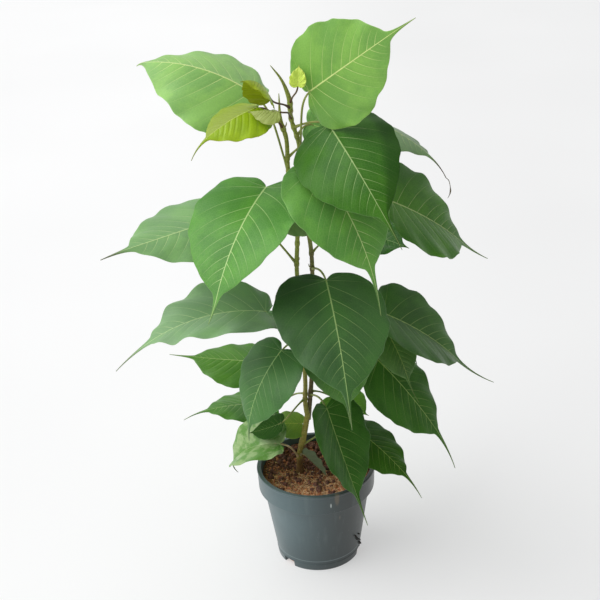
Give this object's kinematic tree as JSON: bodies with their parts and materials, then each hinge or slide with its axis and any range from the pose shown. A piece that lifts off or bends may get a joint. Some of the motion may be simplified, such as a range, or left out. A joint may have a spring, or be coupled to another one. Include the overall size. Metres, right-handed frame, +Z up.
{
  "type": "potted sapling",
  "caption": "Young sacred fig sapling with two slender stems and heart-shaped leaves that end in long drip tips, growing in a round plastic nursery pot.",
  "frame": {"origin": "centre of the pot's flat underside", "axes": "+Z up along the stems, -Y to the plant's front, +X to its right as seen from the front"},
  "size_m": [0.394, 0.3014, 0.6157],
  "materials": {
    "pot": "satin slate grey plastic",
    "soil": "matt coir and compost",
    "trunk": "matt young bark",
    "stem_left": "smooth green bark",
    "stem_right": "smooth grey-brown bark",
    "leaf_fresh": "satin, light green",
    "leaf_middle": "satin, middle green",
    "leaf_deep": "satin, dark green",
    "leaf_bright": "satin, bright green",
    "leaf_young": "satin, yellow-green",
    "leaf_olive": "satin, olive",
    "leaf_pale": "matt, pale mottled green",
    "leaf_grey": "matt, grey-green and folded",
    "leaf_soft": "satin, pale olive"
  },
  "bodies": {
    "root": {"pot": "pot", "soil": "soil", "trunk": "trunk", "stem_left": "stem_left", "stem_right": "stem_right", "leaf_top_right": "leaf_fresh", "leaf_top_left": "leaf_fresh", "leaf_young_yellow": "leaf_young", "leaf_young_olive": "leaf_olive", "leaf_behind_top": "leaf_deep", "leaf_upper_front": "leaf_middle", "leaf_upper_low": "leaf_middle", "leaf_left_front": "leaf_middle", "leaf_left_far": "leaf_middle", "leaf_centre": "leaf_deep", "leaf_left_level": "leaf_middle", "leaf_low_left_bright": "leaf_bright", "leaf_low_left_front": "leaf_deep", "leaf_low_left_back": "leaf_middle", "leaf_foot_pale": "leaf_pale", "leaf_foot_dark": "leaf_deep", "leaf_foot_behind": "leaf_bright", "leaf_low_right_front": "leaf_deep", "leaf_low_right_side": "leaf_deep", "leaf_right_lower": "leaf_deep", "leaf_right_middle": "leaf_deep", "leaf_right_between": "leaf_deep", "leaf_right_withered": "leaf_middle", "leaf_right_upper": "leaf_middle", "leaf_right_behind": "leaf_deep", "leaf_centre_behind": "leaf_deep", "leaf_small_bright": "leaf_bright", "leaf_foot_folded": "leaf_grey", "leaf_middle_dark": "leaf_deep", "leaf_newest": "leaf_young", "leaf_back_top": "leaf_middle", "leaf_back_left": "leaf_middle", "leaf_back_upper": "leaf_middle", "leaf_back_centre": "leaf_deep", "leaf_back_right": "leaf_deep", "leaf_back_low": "leaf_deep", "leaf_young_pale": "leaf_soft"}
  },
  "joints": []
}
